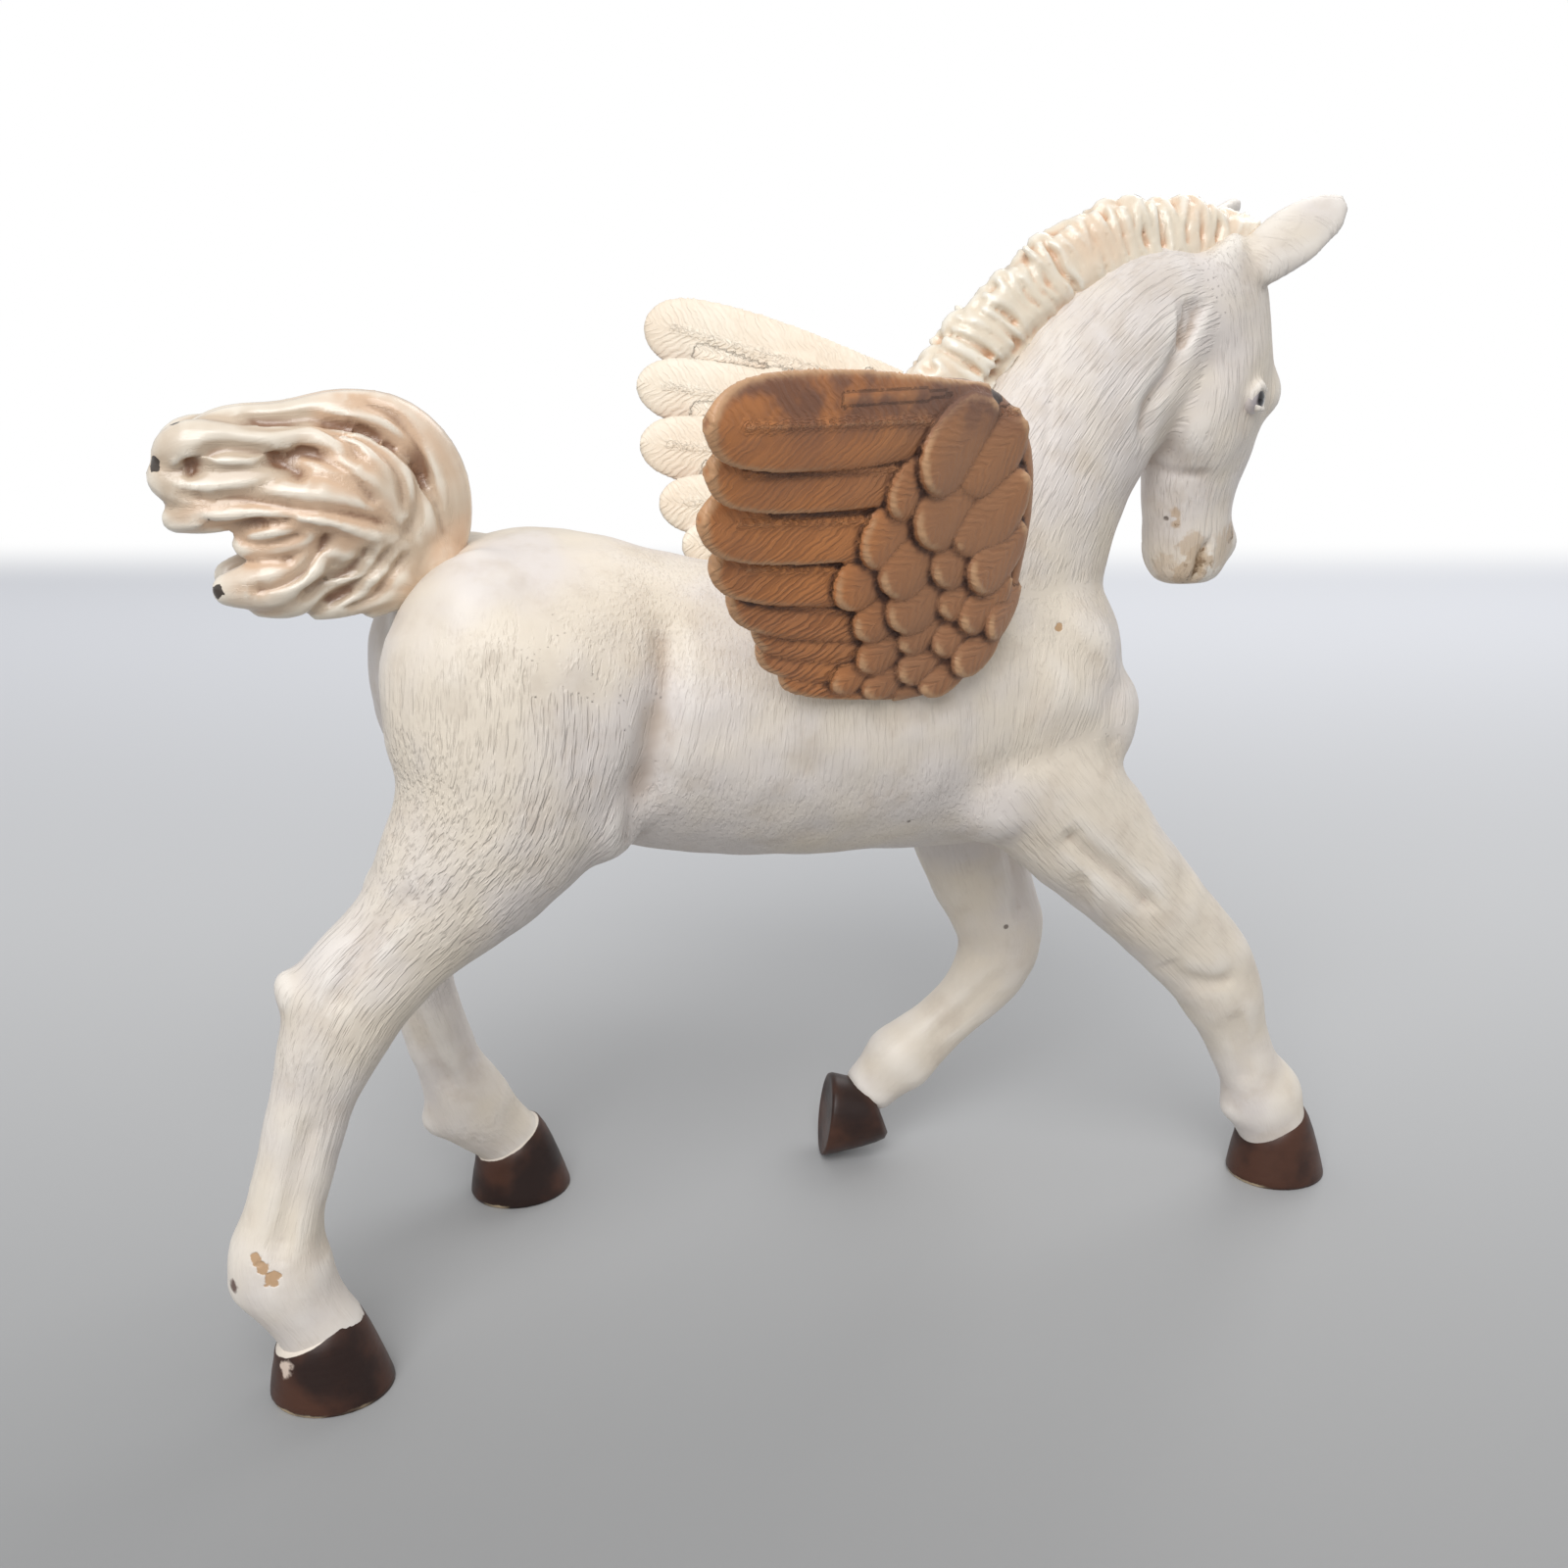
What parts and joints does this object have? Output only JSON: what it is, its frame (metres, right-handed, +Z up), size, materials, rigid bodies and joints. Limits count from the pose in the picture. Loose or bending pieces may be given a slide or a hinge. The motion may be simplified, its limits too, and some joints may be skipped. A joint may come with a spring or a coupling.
{
  "type": "winged foal figurine",
  "caption": "Small standing foal figurine with raised wings, an upright mane and a swept tail, moulded in one solid piece that rests on its hooves.",
  "frame": {"origin": "on the floor under the middle of the figurine's box", "axes": "+X from the tail to the head, +Y from the near (right) side to the far (left) side, +Z up"},
  "size_m": [0.106, 0.0572, 0.0952],
  "materials": {
    "pearl_paint": "satin pearl white paint over moulded plastic, with a faint beige wash",
    "cream_hair_paint": "glossy cream pearl on the mane and tail with a tan wash in the grooves",
    "bronze_feather_paint": "tan brown semi-gloss paint on the near wing's outer face, darker in the recesses",
    "cream_feather_paint": "pearl cream paint on the far wing's feathers",
    "hoof_paint": "dark brown satin paint, chipped along the soles",
    "eye_paint": "glossy black painted pupil"
  },
  "bodies": {
    "root": {"pegasus": "pearl_paint"}
  },
  "joints": []
}
